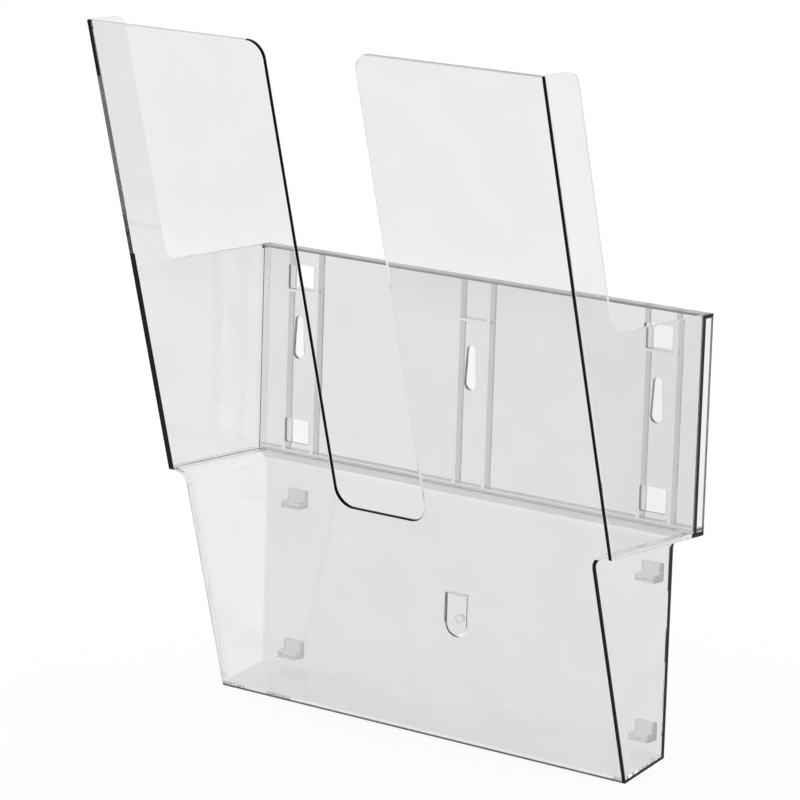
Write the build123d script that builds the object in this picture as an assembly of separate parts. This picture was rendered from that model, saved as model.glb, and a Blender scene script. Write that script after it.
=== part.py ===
from build123d import *
from math import cos, radians, tan
import os

os.makedirs("parts", exist_ok=True)

# Wall-hung magazine rack in clear plastic, in millimetres.
# X runs to the right, Y towards the wall and Z up. The wall is the plane Y = 0.
# The origin lies on the wall, at the middle of the three screw slots.

# Widths
magazine_width = 210.0
side_room = 6.2
wall = 2.0
step_out = 9.3

# Heights, each above the last, from the front bottom edge to the ears
step_height = 104.3
plate_rise = 96.2
ear_rise = 110.5

# Depths in front of the wall
base_depth = 37.3
lower_back_depth = 8.1
plate_depth = 6.3

# Pocket shape, angles in degrees
lean = 16.0
base_tilt = 11.0
rear_corner = 1.0
step_edge = 1.3
flange_depth = 22.5
flange_corner = 6.0
flange_root = 10.0
cut_height = 103.8
cut_width = 49.0
cut_corner = 8.5
ear_corner = 8.0
rim_round = 0.8

# Wall plate
plate_wall = 1.8
rim_wall = 1.2
rib_wall = 1.8
rib_gap = 14.6
rib_pair_inset = 14.8
cross_rib_gap = 0.2
cross_rib_wall = 1.2
slot_drop = 40.0
slot_length = 20.0
slot_top_width = 4.7
slot_foot_width = 6.4
window_height = 11.2
window_corner = 0.8
window_side = 0.3
window_drop = 12.7
window_lift = 10.4
seat_gap = 0.1

# Stacking clips
clip_side_play = 1.9
clip_root = 3.2
clip_height = 8.2
clip_lip = 2.4
clip_slack = 0.3
clip_round = 0.8
clip_drop = 23.0
clip_lift = 4.8
clip_sink = 0.7
clip_fit = 0.05

# Latch tongue
tongue_length = 18.6
tongue_width = 10.8
slit_width = 1.0
neck_radius = 0.6
neck_gap = 0.05
neck_relief = 0.3
nub_drop = 11.5
nub_sink = 4.5
nub_diameter = 4.0
nub_bite = 1.8
nub_round = 1.2

# Worked out from the sizes above
lower_half = magazine_width / 2 + side_room + wall
upper_half = lower_half + step_out
step_round = step_out - wall - step_edge
plate_top = step_height + plate_rise
plate_bottom = step_height + wall + seat_gap
ear_top = plate_top + ear_rise
slot_height = plate_top - slot_drop
lean_slope = tan(radians(lean))
tilt_slope = tan(radians(base_tilt))
base_rear_height = (base_depth - lower_back_depth) * tilt_slope
rib_pair_offset = lower_half - rib_pair_inset
window_width = rib_gap - 2 * window_side
clip_width = window_width - 2 * clip_side_play

# The clips and the windows share one pitch, the widest that both walls have room for.
upper_window_height = plate_top - window_drop
upper_clip_height = step_height - clip_drop
cross_rib_height = upper_window_height - (window_height + cross_rib_wall) / 2 - cross_rib_gap
window_room = upper_window_height - plate_bottom - window_lift
clip_room = upper_clip_height - base_rear_height - clip_lift
clip_pitch = min(window_room, clip_room)

# A rack hangs below another by its upper window edges, with the nub of the upper one in its middle slot.
hanging_pitch = upper_window_height + window_height / 2 - upper_clip_height - clip_root
tongue_root_height = slot_height - hanging_pitch - nub_sink + nub_drop

overrun = 20.0
near = 0.01


def level(height):
    """Z of a height above the front bottom edge."""
    return height - slot_height


def front_y(height, inset=0.0):
    """Y of the leaning front at a height, drawn in square to the panel."""
    return inset / cos(radians(lean)) - base_depth - height * lean_slope


def base_height(y, inset=0.0):
    """Height of the tilted base at a depth, drawn in square to the base."""
    return (y + base_depth) * tilt_slope + inset / cos(radians(base_tilt))


def side_face(points):
    """Face square to X from pairs of Y and height."""
    outline = Polyline(*[(y, level(height)) for y, height in points], close=True)
    return Plane.YZ * make_face(outline)


def at_height(shape, height):
    """Edges of a shape that lie flat at a height."""
    return shape.edges().filter_by_position(Axis.Z, level(height) - near, level(height) + near)


def pocket_volume(inset, past):
    """Pocket volume drawn in by the inset and run past its open top and back."""
    shelf = step_height + inset
    back = -lower_back_depth - inset
    toe = base_height(front_y(0, inset), inset) / (1 + lean_slope * tilt_slope)
    lower_face = side_face(
        [
            (front_y(toe, inset), toe),
            (front_y(shelf, inset), shelf),
            (back, shelf),
            (back, base_height(back, inset)),
        ]
    )
    lower = extrude(lower_face, lower_half - inset, both=True)
    lower = fillet(lower.edges().filter_by(Axis.Z), rear_corner)
    upper_face = side_face(
        [
            (front_y(shelf, inset), shelf),
            (front_y(ear_top + past, inset), ear_top + past),
            (past, ear_top + past),
            (past, shelf),
        ]
    )
    upper = extrude(upper_face, upper_half - inset, both=True)
    body = lower + upper
    step_edges = [
        edge
        for edge in at_height(body, shelf)
        if abs(edge.center().X) < lower_half and front_y(shelf) + wall < edge.center().Y < back + near
    ]
    return fillet(step_edges, step_round + inset)


def make_flange_cut():
    """Space cleared behind the flanges of the ears, above the wall plate."""
    face = side_face(
        [
            (front_y(plate_top) + flange_depth, plate_top),
            (front_y(ear_top + overrun) + flange_depth, ear_top + overrun),
            (overrun, ear_top + overrun),
            (overrun, plate_top),
        ]
    )
    root = face.vertices().sort_by(Axis.Z)[:2].sort_by(Axis.Y)[0]
    return extrude(fillet(root, flange_root), upper_half + overrun, both=True)


def make_finger_cut():
    """Cut with a rounded bottom, square through the leaning front."""
    up_panel = 1 / cos(radians(lean))
    length = (ear_top + overrun - cut_height) * up_panel
    face = Pos(0, cut_height * up_panel + length / 2) * Rectangle(cut_width, length)
    face = fillet(face.vertices().sort_by(Axis.Y)[:2], cut_corner)
    panel = Plane(origin=(0, front_y(0), level(0)), x_dir=(1, 0, 0), z_dir=(0, -1, -lean_slope))
    return extrude(panel * face, 2 * wall, both=True)


def make_ear_cut():
    """Cut level with the tops of the ears, which rounds their inner corners."""
    top = level(ear_top)
    between = Pos(0, top) * Rectangle(cut_width, 4 * ear_corner)
    above = Pos(0, top + ear_corner) * Rectangle(cut_width + 4 * ear_corner, 2 * ear_corner)
    face = between + above
    beside_cut = [corner for corner in face.vertices() if abs(abs(corner.X) - cut_width / 2) < near]
    rounded = fillet([corner for corner in beside_cut if abs(corner.Y - top) < near], ear_corner)
    return extrude(back_plane(-front_y(ear_top) - overrun) * rounded, 2 * overrun)


def on_rim(edge):
    """Whether an edge of the leaning front runs along the finger cut or the top of an ear."""
    middle = edge.center()
    height = middle.Z + slot_height
    inset = (middle.Y - front_y(height)) * cos(radians(lean))
    on_face = min(abs(inset), abs(inset - wall)) < near
    beside_cut = abs(middle.X) < cut_width / 2 + ear_corner and height > cut_height - near
    return on_face and (beside_cut or height > ear_top - near)


def tongue_face(grow, top):
    """Round-ended outline of the tongue, grown sideways and downwards."""
    radius = tongue_width / 2 + grow
    end = level(tongue_root_height - tongue_length) + tongue_width / 2
    shaft = Pos(0, (top + end) / 2) * Rectangle(2 * radius, top - end)
    return shaft + Pos(0, end) * Circle(radius)


def tongue_neck(radius, length):
    """Round bead along the bending line at the root of the tongue."""
    line = Pos(0, -lower_back_depth - wall / 2, level(tongue_root_height)) * Rot(0, 90, 0)
    return line * Cylinder(radius, length)


def back_plane(depth):
    """Plane square to the wall's normal at a depth, facing forwards."""
    return Plane.XZ.offset(depth)


def clip_socket(x, height):
    """Shallow socket for the root of a clip, behind the lower back wall."""
    middle = level(height + clip_root / 2)
    face = Pos(x, middle) * Rectangle(clip_width + 2 * clip_fit, clip_root + 2 * clip_fit)
    return extrude(back_plane(lower_back_depth) * face, clip_sink)


def make_pocket(places):
    """Thin-walled pocket with flanged ears, finger cut, step and lower back wall."""
    body = pocket_volume(0, 0) - pocket_volume(wall, overrun)
    body -= make_flange_cut()
    body -= make_finger_cut()
    body -= make_ear_cut()
    flange_back = front_y(ear_top) + flange_depth
    behind_ears = [edge for edge in at_height(body, ear_top) if abs(edge.center().Y - flange_back) < near]
    body = fillet(behind_ears, flange_corner)
    body = fillet(body.edges().filter_by(on_rim), rim_round)
    opening = tongue_face(slit_width, level(tongue_root_height))
    body -= extrude(back_plane(lower_back_depth) * opening, wall)
    body -= tongue_neck(neck_radius + neck_gap, tongue_width + 2 * slit_width)
    for x, height in places.values():
        body -= clip_socket(x, height)
    return body


def make_tongue():
    """Latch tongue with a neck at its root and a nub behind its free end."""
    face = tongue_face(0, level(tongue_root_height - neck_relief))
    body = extrude(back_plane(lower_back_depth) * face, wall)
    nub_place = Pos(0, level(tongue_root_height - nub_drop))
    nub_length = lower_back_depth - plate_depth + nub_bite
    nub = extrude(back_plane(lower_back_depth) * nub_place * Circle(nub_diameter / 2), -nub_length)
    tip = nub.edges().sort_by(Axis.Y)[-1]
    return body + fillet(tip, nub_round) + tongue_neck(neck_radius, tongue_width)


def make_clip(x, height):
    """L-shaped clip with its lip turned up and its root in a socket of the back wall."""
    root_y = clip_fit - lower_back_depth - clip_sink
    lip_y = plate_wall + clip_slack - plate_depth
    tip_y = lip_y + clip_lip
    top = height + clip_height
    face = side_face(
        [
            (root_y, height),
            (tip_y, height),
            (tip_y, top),
            (lip_y, top),
            (lip_y, height + clip_root),
            (root_y, height + clip_root),
        ]
    )
    lip_corners = [corner for corner in face.vertices() if corner.Y > lip_y - near]
    rounded = [corner for corner in lip_corners if corner.Y > lip_y + near or corner.Z > level(top) - near]
    face = fillet(rounded, clip_round)
    return Pos(x, 0, 0) * extrude(face, clip_width / 2, both=True)


def screw_slot():
    """Upright slot with round ends that widens towards its foot."""
    top = Pos(0, (slot_length - slot_top_width) / 2) * Circle(slot_top_width / 2)
    foot = Pos(0, (slot_foot_width - slot_length) / 2) * Circle(slot_foot_width / 2)
    return make_hull((top + foot).edges())


def make_wall_plate():
    """Rimmed plate with rib pairs behind it, screw slots and clip windows."""
    half = upper_half - wall - seat_gap
    low = level(plate_bottom)
    high = level(plate_top)
    centre = Pos(0, (low + high) / 2)
    outline = Rectangle(2 * half, high - low)
    inside = Rectangle(2 * half, high - low - 2 * rim_wall)
    rims = extrude(back_plane(0) * centre * (outline - inside), plate_depth)
    sheet = extrude(back_plane(plate_depth - plate_wall) * centre * outline, plate_wall)

    ribs = Sketch()
    holes = Sketch()
    for x in (-rib_pair_offset, 0, rib_pair_offset):
        for side in (-1, 1):
            rib_x = x + side * (rib_gap + rib_wall) / 2
            ribs += Pos(rib_x, (low + high) / 2) * Rectangle(rib_wall, high - low - rim_wall)
        ribs += Pos(x, level(cross_rib_height)) * Rectangle(rib_gap + rib_wall, cross_rib_wall)
        holes += Pos(x, 0) * screw_slot()
    for x in (-rib_pair_offset, rib_pair_offset):
        for height in (upper_window_height, upper_window_height - clip_pitch):
            window = RectangleRounded(window_width, window_height, window_corner)
            holes += Pos(x, level(height)) * window
    body = rims + sheet + extrude(back_plane(0) * ribs, plate_depth - plate_wall)
    return body - extrude(back_plane(0) * holes, plate_depth)


clips = {}
for row, clip_level in (("upper", upper_clip_height), ("lower", upper_clip_height - clip_pitch)):
    for side, clip_x in (("left", -rib_pair_offset), ("right", rib_pair_offset)):
        clips[f"clip_{row}_{side}"] = (clip_x, clip_level)

export_step(make_pocket(clips), "parts/pocket.step")
export_step(make_wall_plate(), "parts/wall_plate.step")
export_step(make_tongue(), "parts/latch_tongue.step")
for name, (clip_x, clip_level) in clips.items():
    export_step(make_clip(clip_x, clip_level), f"parts/{name}.step")
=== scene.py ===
# %% [markdown]
# # A clear magazine rack for the wall
# The object is a one-pocket magazine rack, moulded in clear polystyrene.
# Its shapes come ready from the CAD frame: the pocket, the wall plate, the latch tongue and the clips.
# They could be modelled again here, but the CAD solids already have the right sizes and rounded rims.
# Clear plastic shows little but its edges, so this lesson is mostly about tint, edges and light.

# %% Load the frame
import math

import bpy
from mathutils import Matrix, Vector


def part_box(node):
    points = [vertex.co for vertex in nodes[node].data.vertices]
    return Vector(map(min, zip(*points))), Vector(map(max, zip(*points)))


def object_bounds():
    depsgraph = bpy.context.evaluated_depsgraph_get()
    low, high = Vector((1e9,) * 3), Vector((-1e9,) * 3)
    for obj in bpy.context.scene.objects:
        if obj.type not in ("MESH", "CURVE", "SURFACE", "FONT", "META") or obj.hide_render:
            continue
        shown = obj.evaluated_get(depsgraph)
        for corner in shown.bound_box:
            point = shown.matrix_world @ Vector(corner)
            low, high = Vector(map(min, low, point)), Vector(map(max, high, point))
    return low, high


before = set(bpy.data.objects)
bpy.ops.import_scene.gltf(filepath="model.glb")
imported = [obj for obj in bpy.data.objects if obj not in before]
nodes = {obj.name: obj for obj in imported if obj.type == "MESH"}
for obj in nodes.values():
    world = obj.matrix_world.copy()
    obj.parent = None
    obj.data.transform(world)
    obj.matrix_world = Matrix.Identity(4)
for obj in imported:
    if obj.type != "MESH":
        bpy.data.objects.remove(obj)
cad_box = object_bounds()
scene = bpy.context.scene
scene.view_settings.view_transform = "Standard"
for name, piece in nodes.items():
    print(name, len(piece.data.polygons), "faces")

# %% [markdown]
# ## The camera
# The photo was taken from the right and a little above, with a long lens that keeps edges almost parallel.
# A camera can be placed by eye, but here its angles were worked out from the rack's own corners.
# They are kept as a turn, a height, a small roll and a distance, which are easy to change.

# %% Camera
# A turn of 0 degrees is straight in front of the rack, and 90 is on its right.
view_turn = math.radians(38.248)
view_height = math.radians(11.355)
view_roll = math.radians(1.783)
view_distance = 1.87826
view_target = Vector((-0.013079, -0.040, -0.012038))
lens_mm = 193.57
sensor_mm = 36.0
far_limit = 50.0

level = math.cos(view_height)
towards_viewer = Vector((level * math.sin(view_turn), -level * math.cos(view_turn), math.sin(view_height)))
upright = towards_viewer.to_track_quat("Z", "Y").to_matrix()
rolled = upright @ Matrix.Rotation(view_roll, 3, "Z")
camera_data = bpy.data.cameras.new("camera")
camera_data.lens = lens_mm
camera_data.sensor_width = sensor_mm
camera_data.clip_end = far_limit
camera = bpy.data.objects.new("camera", camera_data)
camera.matrix_world = Matrix.Translation(view_target + towards_viewer * view_distance) @ rolled.to_4x4()
scene.collection.objects.link(camera)
scene.camera = camera
print("camera at", tuple(round(value, 3) for value in camera.matrix_world.translation))


# %% [markdown]
# ## Colours
# Colours are picked as sRGB hex values, as in a drawing program, and shaders want linear light.
# They could be converted once and typed in as decimals, but hex values are easier to read and to compare.
# So one function converts them, with the numbers of the sRGB standard.

# %% Colours
def linear(hex_colour):
    """Linear colour with alpha from an sRGB hex value such as #D0D0D2."""
    parts = [int(hex_colour[start:start + 2], 16) / 255 for start in (1, 3, 5)]
    light = [value / 12.92 if value <= 0.04045 else ((value + 0.055) / 1.055) ** 2.4 for value in parts]
    return (*light, 1.0)


white = linear("#FFFFFF")
black = linear("#000000")
print("middle grey is", round(linear("#808080")[0], 3), "in linear light")


# %% [markdown]
# ## Nodes
# A material can be wired up by hand in the shader editor, but a script has to make every node and link.
# One function adds a node, sets its properties and fills its sockets, so a material reads as a short list.
# A Mix node for colours takes its share in socket 0 and its colours in 6 and 7, and gives output 2.

# %% Nodes
def add_node(tree, kind, settings, sockets):
    """Add a node; sockets are named or numbered, and each takes a value or another node's output."""
    node = tree.nodes.new(kind)
    for key, value in settings.items():
        setattr(node, key, value)
    for key, value in sockets.items():
        if isinstance(value, bpy.types.NodeSocket):
            tree.links.new(value, node.inputs[key])
        else:
            node.inputs[key].default_value = value
    return node


def new_material(name):
    """Material with an empty node tree."""
    material = bpy.data.materials.new(name)
    material.use_nodes = True
    material.node_tree.nodes.clear()
    return material, material.node_tree


colour_mix = {"data_type": "RGBA"}
print(len(bpy.data.materials), "materials came with the frame")

# %% [markdown]
# ## Sizes of the rack
# The finishes below change from place to place, so they need the rack's own sizes, in millimetres.
# All of them could be typed in, but most can be read from the boxes of the CAD pieces.
# The rest, such as the wall and the step, are sizes that the rack was drawn from.
# Heights count from the foot of the rack, and depths from the wall.

# %% Sizes of the rack
mm_per_metre = 1000.0


def in_mm(corners):
    """Lowest and highest corner of a box in millimetres, rounded to tenths."""
    return [[round(value * mm_per_metre, 1) for value in corner] for corner in corners]


rack_low, rack_high = in_mm(cad_box)
plate_low, plate_high = in_mm(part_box("wall_plate"))
tongue_low, tongue_high = in_mm(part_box("latch_tongue"))
half_width = rack_high[0]
slot_height = -rack_low[2]
ear_top = slot_height + rack_high[2]
plate_half = plate_high[0]
plate_top = slot_height + plate_high[2]
wall = 2.0
step_out = 9.3
step_height = 104.3
step_edge = 1.3
step_round = step_out - wall - step_edge
step_foot = step_height - step_round
lower_half = half_width - step_out
shelf_top = step_height + wall
back_front = -tongue_low[1]
back_rear = back_front - wall
print("half widths", half_width, "above and", lower_half, "below, ears up to", ear_top)

# %% [markdown]
# ## Places on the rack
# The ears are a little greyer than the foot, and corners draw lines, so a finish has to know where it is.
# A texture could be painted for that, but the rack is all straight walls, so plain measurements will do.
# Each measurement is a direction and an offset in millimetres, read from Object coordinates.
# The rounded step is the one curved place, so a distance from the middle of its curve is measured too.

# %% Measurements
base_depth = 37.3
lean = math.radians(16)
base_tilt = math.radians(11)
lean_slope = math.tan(lean)
tilt_slope = math.tan(base_tilt)
step_centre = (lower_half + step_round, step_foot, 0.0)
measurements = {
    "height": ((0, 0, 1), slot_height),
    "right": ((1, 0, 0), 0.0),
    "before wall": ((0, -1, 0), 0.0),
    "behind front": ((0, 1, lean_slope), base_depth + slot_height * lean_slope),
    "above base": ((0, -tilt_slope, 1), slot_height - base_depth * tilt_slope),
}


def measure(tree):
    """Sockets with a point's place on the rack; beside is its distance from the middle plane."""
    metres = add_node(tree, "ShaderNodeTexCoord", {}, {}).outputs["Object"]
    scaled = {0: metres, "Scale": mm_per_metre}
    point = add_node(tree, "ShaderNodeVectorMath", {"operation": "SCALE"}, scaled).outputs[0]
    axes = add_node(tree, "ShaderNodeSeparateXYZ", {}, {0: point})
    beside = add_node(tree, "ShaderNodeMath", {"operation": "ABSOLUTE"}, {0: axes.outputs["X"]})
    places = {"point": point, "beside": beside.outputs[0]}
    for name, (along, offset) in measurements.items():
        run = add_node(tree, "ShaderNodeVectorMath", {"operation": "DOT_PRODUCT"}, {0: point, 1: along})
        place = add_node(tree, "ShaderNodeMath", {"operation": "ADD"}, {0: run.outputs["Value"], 1: offset})
        places[name] = place.outputs[0]
    flat = add_node(tree, "ShaderNodeCombineXYZ", {}, {0: places["beside"], 1: places["height"]})
    ends = {0: flat.outputs[0], 1: step_centre}
    bend = add_node(tree, "ShaderNodeVectorMath", {"operation": "DISTANCE"}, ends)
    places["round the step"] = bend.outputs["Value"]
    return places


print(len(measurements), "straight measurements, and a step with a radius of", round(step_round, 1), "mm")

# %% [markdown]
# ## Zones
# A corner line or a frosted edge fills a small box, which is given by the ranges of a few measurements.
# Separate meshes could mark such boxes, but the CAD meshes stay as they are.
# So the material tests each point: a Compare node gives 1 inside a range and 0 outside it.
# The product of all tests says whether a point is in the box, and where boxes overlap, the strongest counts.

# %% Zones
# A zone reaches this many millimetres past a face, so that every point of the face lies in it.
skin = 0.1


def boxes(tree, places, zones):
    """Socket with the strongest share of the zones round a point; a zone is a share and ranges of places."""
    strongest = 0.0
    for share, ranges in zones.values():
        for place, (low, high) in ranges.items():
            test = {0: places[place], 1: (low + high) / 2, 2: (high - low) / 2}
            within = add_node(tree, "ShaderNodeMath", {"operation": "COMPARE"}, test).outputs[0]
            product = add_node(tree, "ShaderNodeMath", {"operation": "MULTIPLY"}, {0: share, 1: within})
            share = product.outputs[0]
        larger = add_node(tree, "ShaderNodeMath", {"operation": "MAXIMUM"}, {0: strongest, 1: share})
        strongest = larger.outputs[0]
    return strongest


print("zones reach", skin, "mm past a face")

# %% [markdown]
# ## Corner lines
# A moulded corner has a radius of a few tenths of a millimetre, which bends away the light from behind it.
# So the sharp corners of clear plastic read as black lines, the strongest drawing in the photo.
# Radii that small could be modelled, but the lines would only come out black in one kind of room.
# The material draws them instead: a line is a share of the light that it takes, and the box that it fills.
# The photo shows the left corner wider than the right one, and fainter along the ear, so it has four boxes.

# %% Lines of the upper front
outside = half_width + skin


def from_left(width):
    """Range of places from just outside the left side to a width inside it."""
    return (-outside, width - half_width)


above_ears = ear_top + 1.0
upper_foot = step_height - skin
ear_root = plate_top + 5.5
ear_middle = ear_root + 18.0
ear_tip = ear_top - 25.0
ear_edge = (ear_top - 0.8, ear_top + 0.3)
front_face = (-skin, 0.5)
cut_half = 24.5
upper_lines = {
    "upper right corner": (
        1.0,
        {
            "height": (upper_foot, above_ears),
            "right": (half_width - 1.3, outside),
            "behind front": front_face,
        },
    ),
    "upper left corner": (
        1.0,
        {"height": (upper_foot, ear_root), "right": from_left(3.1), "behind front": front_face},
    ),
    "left ear root": (
        0.99,
        {"height": (ear_root, ear_middle), "right": from_left(2.5), "behind front": front_face},
    ),
    "left ear corner": (
        0.97,
        {"height": (ear_middle, above_ears), "right": from_left(2.7), "behind front": front_face},
    ),
    "left ear tip": (
        1.0,
        {"height": (ear_tip, above_ears), "right": from_left(2.0), "behind front": front_face},
    ),
    "right ear top": (0.3, {"height": ear_edge, "right": (cut_half + 1.5, half_width - 1.5)}),
}
print(len(upper_lines), "lines on the upper front")

# %% [markdown]
# ## Lines of the lower pocket
# Below the step the pocket is a narrow box, and its corners draw lines on the front, the back and the base.
# One box for all corners would be quicker, but the right front corner is black and the left one is pale.
# The right line also follows the round step, which the distance from the middle of the curve gives.

# %% Lines of the lower pocket
lower_face = (-skin, 0.9)
left_face = (-skin, 0.3)
lower_lines = {
    "lower right corner": (
        1.0,
        {
            "height": (0.0, step_foot),
            "right": (lower_half - 1.3, lower_half + 0.4),
            "behind front": lower_face,
        },
    ),
    "right step": (
        1.0,
        {
            "height": (step_foot, step_height - 0.9),
            "round the step": (step_round - skin, step_round + 1.3),
            "behind front": lower_face,
            "right": (lower_half - 2.2, lower_half + 4.3),
        },
    ),
    "lower left corner": (
        1.0,
        {
            "height": (6.0, step_foot - 1.3),
            "right": (-lower_half - 4.8, skin - lower_half),
            "behind front": (0.8, 2.8),
        },
    ),
    "lower left edge": (
        0.3,
        {
            "height": (wall, step_foot),
            "right": (-lower_half - 0.4, 0.6 - lower_half),
            "behind front": left_face,
        },
    ),
    "lower rear corners": (
        1.0,
        {
            "height": (5.0, step_height - 1.3),
            "beside": (lower_half - 0.2, lower_half + 3.8),
            "before wall": (back_rear + skin, back_rear + 2.9),
        },
    ),
    "base ends": (1.0, {"above base": (-skin, 1.4), "beside": (lower_half - skin, lower_half + 0.8)}),
    "foot": (
        0.97,
        {"height": (-skin, 1.0), "beside": (0.0, lower_half + skin), "behind front": (-skin, 0.6)},
    ),
}
print(len(lower_lines), "lines on the lower pocket")

# %% [markdown]
# ## Lines of the finger cut
# The finger cut is a deep U between the ears, cut square through the panel, so its edge is a dark line.
# The edge is curved, and a curve could follow it, but no other face lies inside the panel's thickness.
# So a box between the panel's two faces finds the edge, and it stops short of them.
# On the right it ends below the rounded tip of the ear, which is pale.

# %% Lines of the finger cut
panel_rear = round(wall / math.cos(lean), 2)
inside_panel = (skin, panel_rear - skin)
ear_corner = 8.0
cut_foot = 103.8
cut_start = cut_foot - 3.8
cut_reach = cut_half + ear_corner + 0.5
ear_bend = ear_top - 3.5
cut_lines = {
    "finger cut left": (
        1.0,
        {"height": (cut_start, above_ears), "right": (-cut_reach, 0.0), "behind front": inside_panel},
    ),
    "finger cut right": (
        1.0,
        {"height": (cut_start, ear_bend), "right": (0.0, cut_reach), "behind front": inside_panel},
    ),
}
print("the panel is", panel_rear, "mm thick from front to back")

# %% [markdown]
# ## Lines of the back
# Behind, lines run where the plate sits between the side walls, along the shelf and round the latch tongue.
# They could come from a bevel on every edge, but most edges there stay clear, so only these get a box.

# %% Lines of the back
plate_depth = -plate_low[1]
side_face = (half_width - skin, outside)
tongue_top = slot_height + tongue_high[2]
slit_width = 1.0
slit_half = tongue_high[0] + slit_width
slit_reach = slit_half + 0.6
back_lines = {
    "plate seats": (
        1.0,
        {
            "height": (shelf_top - 0.3, plate_top - 0.5),
            "beside": side_face,
            "before wall": (plate_depth - 0.9, plate_depth + 1.1),
        },
    ),
    "rear ends": (
        0.93,
        {"height": (upper_foot, plate_top + 0.5), "beside": side_face, "before wall": (-skin, 1.6)},
    ),
    "shelf ends": (
        1.0,
        {"height": (upper_foot, shelf_top), "beside": side_face, "before wall": (-skin, back_rear + 0.5)},
    ),
    "side tops": (
        1.0,
        {
            "height": (plate_top - 1.7, plate_top + 0.2),
            "beside": (plate_half - skin, outside),
            "before wall": (-skin, plate_depth + 1.2),
        },
    ),
    "step behind": (
        0.4,
        {
            "height": (step_height - 1.1, shelf_top + skin),
            "before wall": (3.0, back_front + skin),
            "beside": (0.0, plate_half),
        },
    ),
    "latch slit": (
        1.0,
        {
            "height": (30.0, tongue_top - 1.0),
            "before wall": (back_rear + 0.2, back_front - 0.2),
            "beside": (0.0, slit_reach),
        },
    ),
    "left of the slit": (
        0.95,
        {
            "height": (45.0, tongue_top - 0.6),
            "before wall": (back_front - 0.2, back_front + skin),
            "right": (-slit_reach, skin - slit_half),
        },
    ),
}
print(len(back_lines), "lines on the back")


# %% [markdown]
# ## Tint, painted light and painted shade of a clear wall
# Each wall of clear plastic takes a little light away.
# The base colour does that in Blender, once for every wall that a ray crosses.
# One tint would do for a plain sheet, but the ears look greyer than the front below them.
# So painted shade fades in over a range of heights, and patches of painted light and shade lie over it.

# %% Tint
def tinted(tree, places, tint, fades, patches):
    """Colour of a wall: its tint, painted shade that fades in over a range of heights, and painted light and
    shade in patches over them.
    """
    colour = linear(tint)
    for faded_shade, (start, end) in fades:
        heights = {"Value": places["height"], "From Min": start, "From Max": end}
        fade = add_node(tree, "ShaderNodeMapRange", {}, heights).outputs[0]
        mixed = {0: fade, 6: colour, 7: linear(faded_shade)}
        colour = add_node(tree, "ShaderNodeMix", colour_mix, mixed).outputs[2]
    for patch_light_and_shade, zones in patches:
        mixed = {0: boxes(tree, places, zones), 6: colour, 7: linear(patch_light_and_shade)}
        colour = add_node(tree, "ShaderNodeMix", colour_mix, mixed).outputs[2]
    return colour


# This grey is partly the tint of the plastic and partly painted shade, on the lower back wall and the
# tongue.
back_tint_and_shade = "#E5E4E5"
print("the tint of the back is", round(linear(back_tint_and_shade)[0], 2), "in linear light")

# %% [markdown]
# ## Faint clouds
# Moulded sheet is never quite even, so its tint is slightly cloudy.
# A bump would bend the light as well, which blurs the clear walls, so the clouds only change the tint.
# A noise texture gives them, a few centimetres wide, and only its brighter part counts.

# %% Clouds
cloud_mm = 28.0
cloud_depth = 0.12
cloud_range = (0.4, 0.7)
cloud_tint = "#D8D6D8"


def clouded(tree, places, colour):
    """Colour with faint clouds in it."""
    size = {"Vector": places["point"], "Scale": 1 / cloud_mm}
    clouds = add_node(tree, "ShaderNodeTexNoise", {}, size).outputs[0]
    start, end = cloud_range
    depth = {"Value": clouds, "From Min": start, "From Max": end, "To Max": cloud_depth}
    faint = add_node(tree, "ShaderNodeMapRange", {}, depth).outputs[0]
    mixed = {0: faint, 6: colour, 7: linear(cloud_tint)}
    return add_node(tree, "ShaderNodeMix", colour_mix, mixed).outputs[2]


print("clouds about", cloud_mm, "mm wide")

# %% [markdown]
# ## Clear polystyrene
# General-purpose polystyrene is a hard, brilliant clear plastic with an IOR of about 1.59.
# A glass shader could stand for it, but the Principled shader also takes frost and gloss place by place.
# A line only takes light that enters from outside, so the far corners, seen through the plastic, stay faint.
# Frost is a share of the light that is scattered, and a dull face mirrors less.
# A little absorption in the volume darkens light that runs on inside a sheet towards an edge.

# %% Clear polystyrene
polystyrene_ior = 1.59
absorbed_per_mm = 0.001


def drawn_share(tree, places, lines):
    """Share of the light that corner lines take, where it enters from outside."""
    side = add_node(tree, "ShaderNodeNewGeometry", {}, {})
    facing = {0: 1.0, 1: side.outputs["Backfacing"]}
    from_outside = add_node(tree, "ShaderNodeMath", {"operation": "SUBTRACT"}, facing).outputs[0]
    taken = {0: boxes(tree, places, lines), 1: from_outside}
    return add_node(tree, "ShaderNodeMath", {"operation": "MULTIPLY"}, taken).outputs[0]


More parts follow.
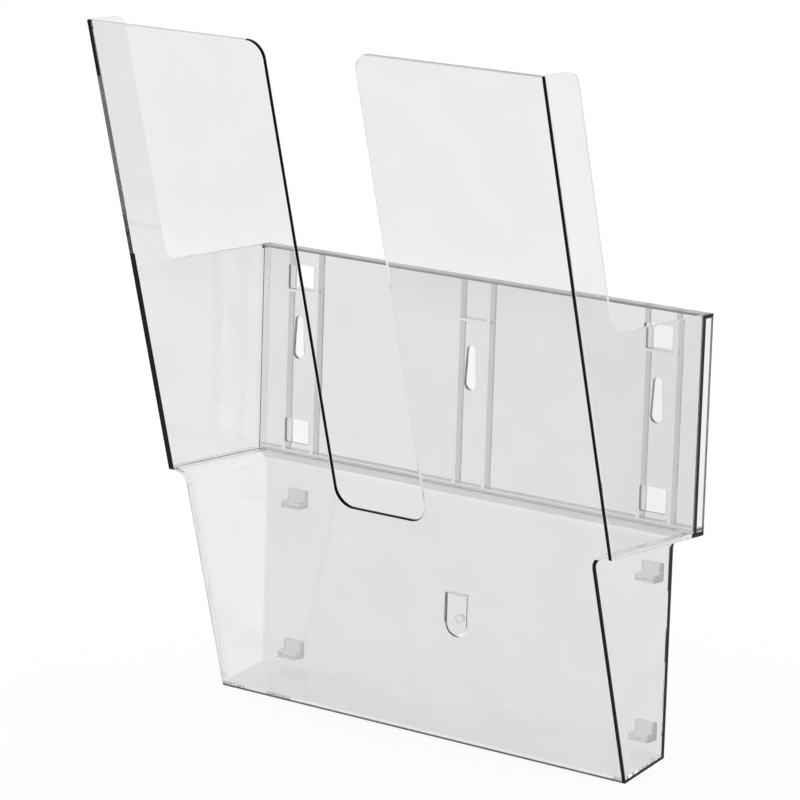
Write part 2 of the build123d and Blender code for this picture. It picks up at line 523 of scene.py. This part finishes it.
def clear_polystyrene(name, tint, lines, fades=(), patches=(), frost=None, dull=None):
    """Clear moulding with a tint and corner lines; frost and dull are zones, fades are painted shade and
    patches painted light and shade.
    """
    material, tree = new_material(name)
    places = measure(tree)
    colour = clouded(tree, places, tinted(tree, places, tint, fades, patches))
    drawn = drawn_share(tree, places, lines)
    unmirrored = drawn
    if dull:
        shares = {0: drawn, 1: boxes(tree, places, dull)}
        unmirrored = add_node(tree, "ShaderNodeMath", {"operation": "MAXIMUM"}, shares).outputs[0]
    clear = 1.0
    if frost:
        shares = {0: 1.0, 1: boxes(tree, places, frost)}
        clear = add_node(tree, "ShaderNodeMath", {"operation": "SUBTRACT"}, shares).outputs[0]
    seen = add_node(tree, "ShaderNodeMix", colour_mix, {0: drawn, 6: colour, 7: black})
    mirrored = add_node(tree, "ShaderNodeMix", colour_mix, {0: unmirrored, 6: white, 7: black})
    finish = {
        "Base Color": seen.outputs[2],
        "Specular Tint": mirrored.outputs[2],
        "Roughness": 0.0,
        "IOR": polystyrene_ior,
        "Transmission Weight": clear,
    }
    surface = add_node(tree, "ShaderNodeBsdfPrincipled", {}, finish).outputs["BSDF"]
    absorption = {"Color": black, "Density": absorbed_per_mm * mm_per_metre}
    volume = add_node(tree, "ShaderNodeVolumeAbsorption", {}, absorption).outputs["Volume"]
    add_node(tree, "ShaderNodeOutputMaterial", {}, {"Surface": surface, "Volume": volume})
    return material


print("polystyrene bends light with an IOR of", polystyrene_ior)

# %% [markdown]
# ## Painted light, painted shade and frost of the pocket
# Painted shade greys the lower back, the base and the lower left corner, and the sides and the left flange
# get painted light and shade of their own.
# The tops of the ears, the sides of the shelf and the lower left corner look pale, as if lightly frosted.
# A second material on some faces could do both, but a CAD piece keeps its one slot, so these are zones too.

# %% Tints and frost of the pocket
past_rack = 200.0
past_flange = 40.0
behind_panel = panel_rear + 0.22
left_corner = {
    "height": (wall, step_height - 0.2),
    "right": (-outside, 3.4 - lower_half),
    "behind front": left_face,
}
lower_back = {"before wall": (-skin, back_front + skin), "height": (wall, step_height - 0.3)}
base = {"above base": (-0.2, wall + 0.3)}
sides = {
    "beside": (plate_half, outside),
    "height": (shelf_top + skin, above_ears),
    "behind front": (behind_panel, past_rack),
}
left_flange = {
    "right": (-outside, -plate_half),
    "height": (plate_top + skin, above_ears),
    "behind front": (behind_panel, past_flange),
}
# These patches are painted light and shade, not a change in the plastic.
pocket_light_and_shade_patches = (
    (back_tint_and_shade, {"lower back": (1.0, lower_back)}),
    ("#E4E3E4", {"base": (1.0, base)}),
    ("#F1F0F1", {"sides": (1.0, sides)}),
    ("#F6F5F6", {"left flange": (1.0, left_flange)}),
    ("#E6E5E6", {"lower left corner": (1.0, left_corner)}),
)
pocket_frost = {
    "ear tops": (0.65, {"height": ear_edge, "behind front": (-skin, panel_rear + 0.02)}),
    "right ear corner": (
        0.8,
        {
            "height": (ear_bend, ear_edge[0]),
            "right": (cut_half - 0.5, cut_reach),
            "behind front": inside_panel,
        },
    ),
    "shelf sides": (
        0.55,
        {
            "height": (step_height - 0.2, shelf_top + skin),
            "beside": (half_width - 0.2, outside),
            "before wall": (back_rear + 0.6, past_rack),
        },
    ),
    "lower left corner": (0.65, left_corner),
}
print(len(pocket_light_and_shade_patches), "patches and", len(pocket_frost), "frosted edges")

# %% [markdown]
# ## The pocket
# The pocket is the thin moulding that holds the magazines, with the leaning front and its two tall ears.
# A plain clear material would show little of it on white, so it takes every line, patch of painted light and
# shade, and frosted edge.

# %% Pocket
pocket_tint = "#F9F8F9"
# Painted shade: the ears are painted greyer than the front below them.
ear_shade_fade = (("#EDECED", (plate_top - 5.5, plate_top + 34.5)),)
pocket_lines = {**upper_lines, **lower_lines, **cut_lines, **back_lines}
# The eye gets bright, almost unseen walls with painted shade on the ears, the lower back and the base, black
# corners and a few pale edges.
pocket_plastic = clear_polystyrene(
    "clear polystyrene pocket", pocket_tint, pocket_lines, ear_shade_fade, pocket_light_and_shade_patches, pocket_frost
)
nodes["pocket"].material_slots[0].material = pocket_plastic
print(len(pocket_lines), "lines and", len(pocket_plastic.node_tree.nodes), "nodes in the pocket's plastic")

# %% [markdown]
# ## The wall plate
# The plate closes the upper back: ribs stiffen it, and its three slots hang the rack on screws.
# Its edges could be drawn one by one, but one depth range finds the edges of all holes, another the ribs.
# The sheet mirrors less than the pocket, as it would otherwise show the ears a second time.

# %% Wall plate
plate_tint = "#E5E4E5"
plate_foot = slot_height + plate_low[2]
sheet = 1.8
sheet_rear = plate_depth - sheet
plate_inside = (0.0, plate_half - 1.4)
plate_lines = {
    "ends": (1.0, {"beside": (plate_half - 0.5, plate_half + skin)}),
    "top edge": (0.88, {"height": (plate_top - 1.0, plate_top + 0.2)}),
    "bottom edge": (0.5, {"height": (plate_foot - 0.2, plate_foot + 1.0)}),
    "holes": (0.96, {"before wall": (sheet_rear + skin, plate_depth - skin), "beside": plate_inside}),
    "ribs": (0.2, {"before wall": (skin, sheet_rear - skin), "beside": plate_inside}),
}
dull_sheet = {"sheet": (0.784, {"before wall": (sheet_rear - skin, plate_depth + skin)})}
# The eye gets a light grey sheet with little gloss, and thin grey lines at its ribs and holes.
plate_plastic = clear_polystyrene("clear polystyrene plate", plate_tint, plate_lines, dull=dull_sheet)
nodes["wall_plate"].material_slots[0].material = plate_plastic
print(len(plate_plastic.node_tree.nodes), "nodes in the plate's plastic")

# %% [markdown]
# ## The latch tongue
# The tongue is a part of the back wall that bends, with a round nub on its rear face.
# It could share the pocket's material, but those lines would be drawn on it too, so it has its own.

# %% Latch tongue
nub_end = -tongue_high[1]
tongue_lines = {"nub": (0.3, {"before wall": (nub_end - skin, nub_end + 1.5)})}
# The eye gets the same light grey as the back wall, partly painted shade, and a faint ring where the nub
# ends.
tongue_plastic = clear_polystyrene("clear polystyrene tongue", back_tint_and_shade, tongue_lines)
nodes["latch_tongue"].material_slots[0].material = tongue_plastic
print("the nub ends", nub_end, "mm before the wall")

# %% [markdown]
# ## Light inside the sheets
# Light that enters an edge bounces along between the two faces of a sheet many times before it leaves.
# Blender stops counting after a few bounces and would leave those edges dark.
# A lamp inside could brighten them, but it would light the room as well, so the limits go up instead.

# %% Bounces
sheet_bounces = 64
scene.cycles.glossy_bounces = sheet_bounces
scene.cycles.transmission_bounces = sheet_bounces
scene.cycles.max_bounces = 2 * sheet_bounces
print("up to", scene.cycles.max_bounces, "bounces")

# %% [markdown]
# ## Ridges and painted shade of the clips
# Fine upright ridges from the mould show on the lips of the four stacking clips.
# They could be modelled, but a wave in the material lifts the surface, and painted shade darkens the valleys
# as well.
# Painted shade darkens the right ends of the clips, more so on the right clips, so each end is a zone.

# %% Ridges and ends of the clips
# The real ridges are about 0.8 mm apart and are drawn twice as coarse, so that the render can show them.
ridge_mm = 1.7
ridge_lift = 0.0002
ridge_strength = 0.15
# A wave texture turns by 20 radians for a distance of 1 at a scale of 1.
wave_turn = 20.0
left_clip_end = in_mm(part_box("clip_lower_left"))[1][0]
right_clip_end = in_mm(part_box("clip_lower_right"))[1][0]
# Painted shade on the right end of each clip.
clip_end_shade = {
    "right clips": (0.75, {"right": (right_clip_end - 0.8, right_clip_end + 0.2)}),
    "left clips": (0.15, {"right": (left_clip_end - 0.8, left_clip_end + 0.2)}),
}
clip_plastic, clip_tree = new_material("cloudy polystyrene")
clip_point = add_node(clip_tree, "ShaderNodeTexCoord", {}, {}).outputs["Object"]
wave_size = {"Vector": clip_point, "Scale": 2 * math.pi * mm_per_metre / (wave_turn * ridge_mm)}
ridges = add_node(clip_tree, "ShaderNodeTexWave", {"bands_direction": "X"}, wave_size).outputs[0]
lift = {"Height": ridges, "Strength": ridge_strength, "Distance": ridge_lift}
ridged = add_node(clip_tree, "ShaderNodeBump", {}, lift).outputs[0]
# Painted shade: the valleys of the ridges are painted a darker grey.
valley_shade_colours = {0: ridges, 6: linear("#E6E6E8"), 7: linear("#F6F6F7")}
valleys = add_node(clip_tree, "ShaderNodeMix", colour_mix, valley_shade_colours).outputs[2]
end_shade_colours = {0: boxes(clip_tree, measure(clip_tree), clip_end_shade), 6: valleys, 7: linear("#505052")}
clip_colour_and_shade = add_node(clip_tree, "ShaderNodeMix", colour_mix, end_shade_colours).outputs[2]
print("ridges", ridge_mm, "mm apart on clips that end at", left_clip_end, "and", right_clip_end)

# %% [markdown]
# ## Cloudy clips
# The four stacking clips look greyer and cloudier than the walls, as small thick mouldings do.
# A plain grey paint would look solid, so nearly all the light passes, and a rough surface blurs it.
# The rest is scattered back.
# A low IOR bends the light little, which keeps the small blocks as pale as the photo shows them.

# %% Clips
# The eye gets a pale, milky block with faint upright ridges, painted shade in their valleys and on its right
# end.
clip_finish = {
    "Base Color": clip_colour_and_shade,
    "Roughness": 0.25,
    "IOR": 1.25,
    "Transmission Weight": 0.95,
    "Normal": ridged,
}
clip_surface = add_node(clip_tree, "ShaderNodeBsdfPrincipled", {}, clip_finish).outputs["BSDF"]
add_node(clip_tree, "ShaderNodeOutputMaterial", {}, {"Surface": clip_surface})
for name, piece in nodes.items():
    if name.startswith("clip_"):
        piece.material_slots[0].material = clip_plastic
        print(name, "is", clip_plastic.name)

# %% [markdown]
# ## White floor
# Clear plastic is photographed against white, so that its edges stand out dark.
# White paint alone would show a heavy shadow, so the floor glows evenly.
# A small share of matt paint in it keeps the rack's faint shadow.

# %% Floor
floor_reach = 6.0
floor_gap = 0.0005
matt_share = 0.09
floor_height = cad_box[0][2] - floor_gap
floor_mesh = bpy.data.meshes.new("floor")
signs = ((-1, -1), (1, -1), (1, 1), (-1, 1))
floor_corners = [(x * floor_reach, y * floor_reach, floor_height) for x, y in signs]
floor_mesh.from_pydata(floor_corners, [], [(0, 1, 2, 3)])
floor = bpy.data.objects.new("floor", floor_mesh)
scene.collection.objects.link(floor)
# The eye gets an even white with a soft grey shadow on it.
floor_paint, floor_tree = new_material("white floor")
paint = add_node(floor_tree, "ShaderNodeBsdfDiffuse", {}, {"Color": linear("#FCFCFC")}).outputs[0]
glow = add_node(floor_tree, "ShaderNodeEmission", {}, {"Color": white, "Strength": 1.0}).outputs[0]
blend = add_node(floor_tree, "ShaderNodeMixShader", {}, {0: matt_share, 1: glow, 2: paint}).outputs[0]
add_node(floor_tree, "ShaderNodeOutputMaterial", {}, {"Surface": blend})
floor_mesh.materials.append(floor_paint)
print("floor at", round(floor_height, 4))

# %% [markdown]
# ## White room and lamp
# A white world surrounds everything, as a light tent does in a studio.
# It lights all sides alike, so one large soft lamp above the front gives the cloudy clips some shape.
# Several small lamps could do that too, but each would show as a spot in the glossy walls.

# %% White room and lamp
world = bpy.data.worlds.new("white studio")
world.use_nodes = True
scene.world = world
background = world.node_tree.nodes["Background"]
background.inputs["Color"].default_value = white
background.inputs["Strength"].default_value = 1.0
lamp_place = Vector((-0.9, -1.3, 1.6))
lamp_data = bpy.data.lights.new("soft lamp", "AREA")
lamp_data.size = 1.2
lamp_data.energy = 4.0
lamp = bpy.data.objects.new("soft lamp", lamp_data)
aimed = lamp_place.to_track_quat("Z", "Y").to_matrix()
lamp.matrix_world = Matrix.Translation(lamp_place) @ aimed.to_4x4()
scene.collection.objects.link(lamp)
print("lamp at", tuple(round(value, 3) for value in lamp_place))
